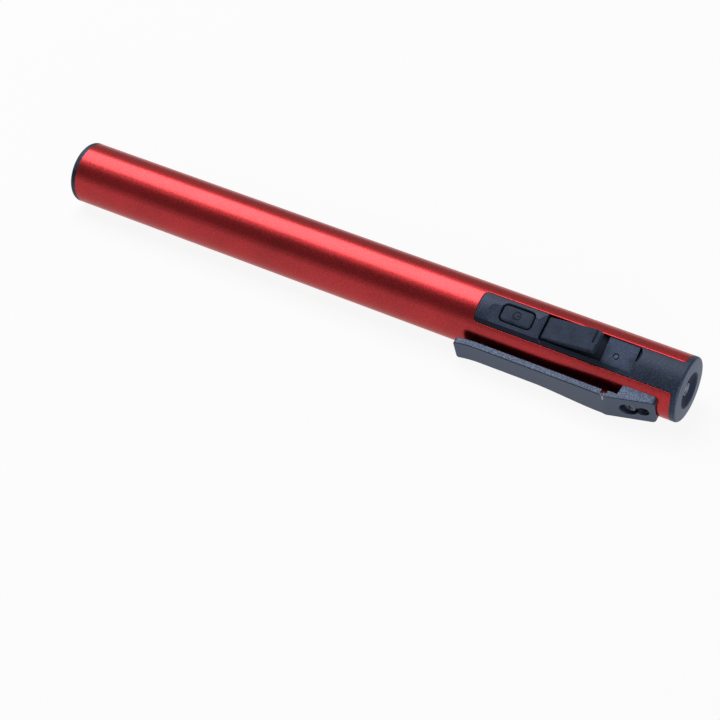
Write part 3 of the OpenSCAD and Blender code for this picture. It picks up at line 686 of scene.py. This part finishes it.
def head():
    bm = cad_copy("head_moulding")

    def button_rim(point):
        at = TO_PANEL @ point / MM
        reach = abs(at.x - BUTTON_X) < BUTTON_L / 2 + 0.4 and abs(at.y) < BUTTON_W / 2 + 0.4
        return reach and at.z > DECK_Z

    def plate_end(point):
        at = TO_PANEL @ point / MM
        return abs(at.x - PLATE_END_X) < 0.1 and at.z > PLATE_Z + 0.1 and abs(at.y) < 2.5

    def deck_edge(point):
        at = TO_PANEL @ point / MM
        return SLOT_X + 0.3 < at.x < BED_X + 0.2 and at.z > DECK_Z - 0.6

    round_edges(bm, WELL_ROUND, 5, button_rim, clamp=False)
    round_edges(bm, PLATE_ROUND, 4, plate_end, clamp=False)
    mark_creases(bm, DECK_CREASE, deck_edge)
    add_piece("head", bm, "black_plastic", "black_plastic", "light", "head_moulding")


def tail_plug():
    bm = cad_copy("tail_cap")
    round_edges(bm, PLUG_ROUND)
    add_piece("tail_plug", bm, "black_plastic", "black_plastic", "light", "tail_cap")


def flap():
    bm = cad_copy("port_flap")
    to_flap = FLAP_PLACE.inverted()

    def outline(point):
        at = to_flap @ (point / MM)
        return at.z > -FLAP_T / 2 + 0.02 or (at.z > -FLAP_T / 2 - 0.02 and abs(at.y) > FLAP_W / 2 - 0.6)

    round_edges(bm, FLAP_ROUND, 4, outline, clamp=False)
    add_piece("flap", bm, "black_rubber", "black_rubber", "flap", "port_flap")


def lens():
    """Domed lens with a raised collar round it, turned about the barrel's axis"""
    bm = bmesh.new()
    profile = [bm.verts.new((x * MM, 0, radius * MM)) for x, radius in LENS_PROFILE]
    lines = [bm.edges.new(pair) for pair in zip(profile, profile[1:])]
    bmesh.ops.spin(
        bm, geom=[*profile, *lines], cent=(0, 0, 0), axis=(1, 0, 0), angle=2 * math.pi, steps=TURNED_SIDES,
        use_merge=True,
    )
    bmesh.ops.remove_doubles(bm, verts=bm.verts, dist=MERGE)
    bmesh.ops.recalc_face_normals(bm, faces=bm.faces)
    add_piece("lens", bm, "clear_lens", "clear_lens", "light", "head_lens")


def screw():
    bm = cad_copy("clip_screw")
    round_edges(bm, SCREW_ROUND, 2)
    add_piece("screw", bm, "dark_screw", "socket_steel", "light", "clip_screw")


def button_height(x, y, inside):
    """Crowned top with a rounded rim and the power sign sunk into it"""
    crown = BUTTON_CROWN * (1 - (2 * x / BUTTON_L) ** 2) * (1 - (2 * y / BUTTON_W) ** 2)
    left = max(0, BUTTON_RIM - inside)
    fall = BUTTON_RIM - math.sqrt(max(0, BUTTON_RIM ** 2 - left * left))
    ring = abs(math.hypot(x, y) - SYMBOL_R)
    opening = x > 0 and abs(y) < 0.36
    bar = math.hypot(y, max(0.2 - x, 0, x - 0.95))
    stroke = bar if opening else min(bar, ring)
    sunk = SYMBOL_DEPTH * min(1, max(0, (SYMBOL_LINE / 2 + 0.05 - stroke) / 0.08))
    return BUTTON_TOP + crown - fall - sunk


def button():
    """A fine grid for the top, drawn in round the corners, with a skirt below it"""
    bm = bmesh.new()
    columns = round(BUTTON_L / BUTTON_STEP)
    rows = round(BUTTON_W / BUTTON_STEP)
    grid = []
    for i in range(columns + 1):
        line = []
        for j in range(rows + 1):
            x = BUTTON_L * (i / columns - 0.5)
            y = BUTTON_W * (j / rows - 0.5)
            inside = min(BUTTON_L / 2 - abs(x), BUTTON_W / 2 - abs(y))
            dx = abs(x) - BUTTON_L / 2 + BUTTON_CORNER
            dy = abs(y) - BUTTON_W / 2 + BUTTON_CORNER
            if dx > 0 and dy > 0:
                pull = max(dx, dy) / math.hypot(dx, dy)
                inside = BUTTON_CORNER - max(dx, dy)
                x = math.copysign(BUTTON_L / 2 - BUTTON_CORNER + dx * pull, x)
                y = math.copysign(BUTTON_W / 2 - BUTTON_CORNER + dy * pull, y)
            line.append(bm.verts.new((BUTTON_X + x, y, button_height(x, y, inside))))
        grid.append(line)
    for i in range(columns):
        for j in range(rows):
            bm.faces.new((grid[i][j], grid[i + 1][j], grid[i + 1][j + 1], grid[i][j + 1]))
    bm.normal_update()
    edge = [e for e in bm.edges if e.is_boundary]
    skirt = bmesh.ops.extrude_edge_only(bm, edges=edge)["geom"]
    foot = [v for v in skirt if isinstance(v, bmesh.types.BMVert)]
    for vert in foot:
        vert.co.z = BUTTON_SKIRT
    bmesh.ops.contextual_create(bm, geom=[e for e in skirt if isinstance(e, bmesh.types.BMEdge) and e.is_boundary])
    bmesh.ops.recalc_face_normals(bm, faces=bm.faces)
    bmesh.ops.transform(bm, matrix=PANEL_TURN @ Matrix.Scale(MM, 4), verts=bm.verts)
    add_piece("button", bm, "button_rubber", "black_rubber", "button", "power_button")


def clip_web():
    """The thin skin across the groove that joins arm and foot"""
    bm = bmesh.new()
    bmesh.ops.create_cube(bm, size=1)
    size = Matrix.Diagonal((WEB_L, CLIP_ROOT_W - 2 * WEB_INSET, CLIP_SKIN - 2 * WEB_INSET, 1))
    middle = Matrix.Translation((GROOVE_X, 0, CLIP_PEAK - CLIP_SKIN / 2))
    bmesh.ops.transform(bm, matrix=CLIP_TURN @ Matrix.Scale(MM, 4) @ middle @ size, verts=bm.verts)
    return bm


def clip():
    """Arm and foot as one moulding, sliced across the groove where it bends"""
    bm = combined("UNION", cad_copy("clip_arm"), cad_copy("clip_foot"), clip_web())
    whole_faces(bm)

    def crest(point):
        at = TO_CLIP @ point / MM
        return abs(at.x - FOOT_X) < 0.05 and at.z > CLIP_PEAK - 0.05

    def outer(point):
        at = TO_CLIP @ point / MM
        ends = at.x < CLIP_TIP_X + 0.4 or at.x > CLIP_END_X - 0.3
        seat = at.x > FOOT_X and at.z < CLIP_PEAK - FOOT_SLOPE * (at.x - FOOT_X) - 0.7
        return not seat and abs(at.x - GROOVE_X) > GROOVE_W and (abs(at.y) > 2.9 or ends)

    round_edges(bm, CLIP_ROUND, 4, outer, clamp=False)
    mark_creases(bm, CREST_CREASE, crest)
    for i in range(1, GROOVE_STEPS):
        at = GROOVE_X + GROOVE_W * (i / GROOVE_STEPS - 0.5)
        bmesh.ops.bisect_plane(
            bm, geom=[*bm.verts, *bm.edges, *bm.faces], plane_co=(at * MM, 0, 0), plane_no=(1, 0, 0), dist=1e-7
        )
    piece = add_piece("clip", bm, "clip_plastic", "black_plastic", None, "clip_arm", "clip_foot")
    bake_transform(piece)


tube = barrel()
head()
tail_plug()
flap()
lens()
screw()
button()
clip()


# Studio

def seen_white(f):
    """1 where the background is looked at, straight on or in metal and glass"""
    seen = f.node("ShaderNodeLightPath", out="Is Camera Ray")
    for ray in ("Is Glossy Ray", "Is Transmission Ray"):
        seen = seen.most(f.node("ShaderNodeLightPath", out=ray))
    return seen


def studio_world():
    world = bpy.data.worlds.new("studio")
    scene.world = world
    f = Finish("studio", world)
    seen = seen_white(f)
    fill = 0.12
    sky = f.node("ShaderNodeBackground", None, {"Color": (1, 1, 1), "Strength": fill + (1 - fill) * seen})
    f.node("ShaderNodeOutputWorld", None, {0: sky})


def softbox(name, size, radiance, at, aim):
    """A soft lamp of one brightness that faces a point"""
    lamp = bpy.data.lights.new(name, "AREA")
    lamp.shape = "RECTANGLE"
    lamp.size, lamp.size_y = size
    lamp.energy = math.pi * size[0] * size[1] * radiance
    box = bpy.data.objects.new(name, lamp)
    scene.collection.objects.link(box)
    box.location = at
    box.rotation_euler = (Vector(at) - Vector(aim)).to_track_quat("Z", "Y").to_euler()
    return box


def keep_off(box, piece):
    """Keeps a lamp off one piece, where it would glare at a flat angle"""
    shaded = bpy.data.collections.new(box.name + "_off")
    shaded.objects.link(piece)
    shaded.collection_objects[0].light_linking.link_state = "EXCLUDE"
    box.light_linking.receiver_collection = shaded


def sheet_on_stage(name, points, faces, shader):
    mesh = bpy.data.meshes.new(name)
    mesh.from_pydata(points, [], faces)
    mesh.materials.append(shader)
    sheet = bpy.data.objects.new(name, mesh)
    scene.collection.objects.link(sheet)
    return sheet


def floor():
    f = Finish("floor_paint")
    seen = seen_white(f)
    matt = f.node("ShaderNodeBsdfDiffuse", None, {"Color": (0.78, 0.78, 0.78)})
    glow = f.node("ShaderNodeEmission", None, {"Color": (1, 1, 1), "Strength": 1.0})
    white = 0.9
    both = f.node("ShaderNodeMixShader", None, {0: white * seen, 1: matt, 2: glow})
    f.node("ShaderNodeOutputMaterial", None, {0: both})
    reach = 3.0
    z = cad_box[0].z
    corners = [(-reach, -reach, z), (reach, -reach, z), (reach, reach, z), (-reach, reach, z)]
    sheet_on_stage("floor", corners, [(0, 1, 2, 3)], f.holder)


def reflected_card(name, side, low, high, glow):
    """A dim card beside the object, seen only in reflections"""
    f = Finish(name)
    dim = f.node("ShaderNodeEmission", None, {"Color": (1, 1, 1), "Strength": glow})
    f.node("ShaderNodeOutputMaterial", None, {0: dim})
    points = []
    steps = 4
    away = 0.9
    ends = (-1.2, 1.35)
    for i in range(steps + 1):
        angle = math.radians(low + (high - low) * i / steps)
        for x in ends:
            points.append((x, side * away * math.cos(angle), away * math.sin(angle)))
    faces = [(2 * i, 2 * i + 1, 2 * i + 3, 2 * i + 2) for i in range(steps)]
    card = sheet_on_stage(name, points, faces, f.holder)
    card.visible_camera = False
    card.visible_shadow = False
    card.visible_diffuse = False


studio_world()
softbox("top_light", (0.66, 0.72), 4.7, (-0.27, 0.146, 0.787), (-0.27, 0, 0))
keep_off(softbox("front_light", (0.5, 0.5), 9.0, (0.8, -0.72, 0.26), (0.1, 0, 0)), tube)
floor()
reflected_card("near_card", -1, 16, 60, 0.27)
reflected_card("low_card", -1, 1, 16, 0.55)
reflected_card("far_card", 1, 1, 48, 0.5)
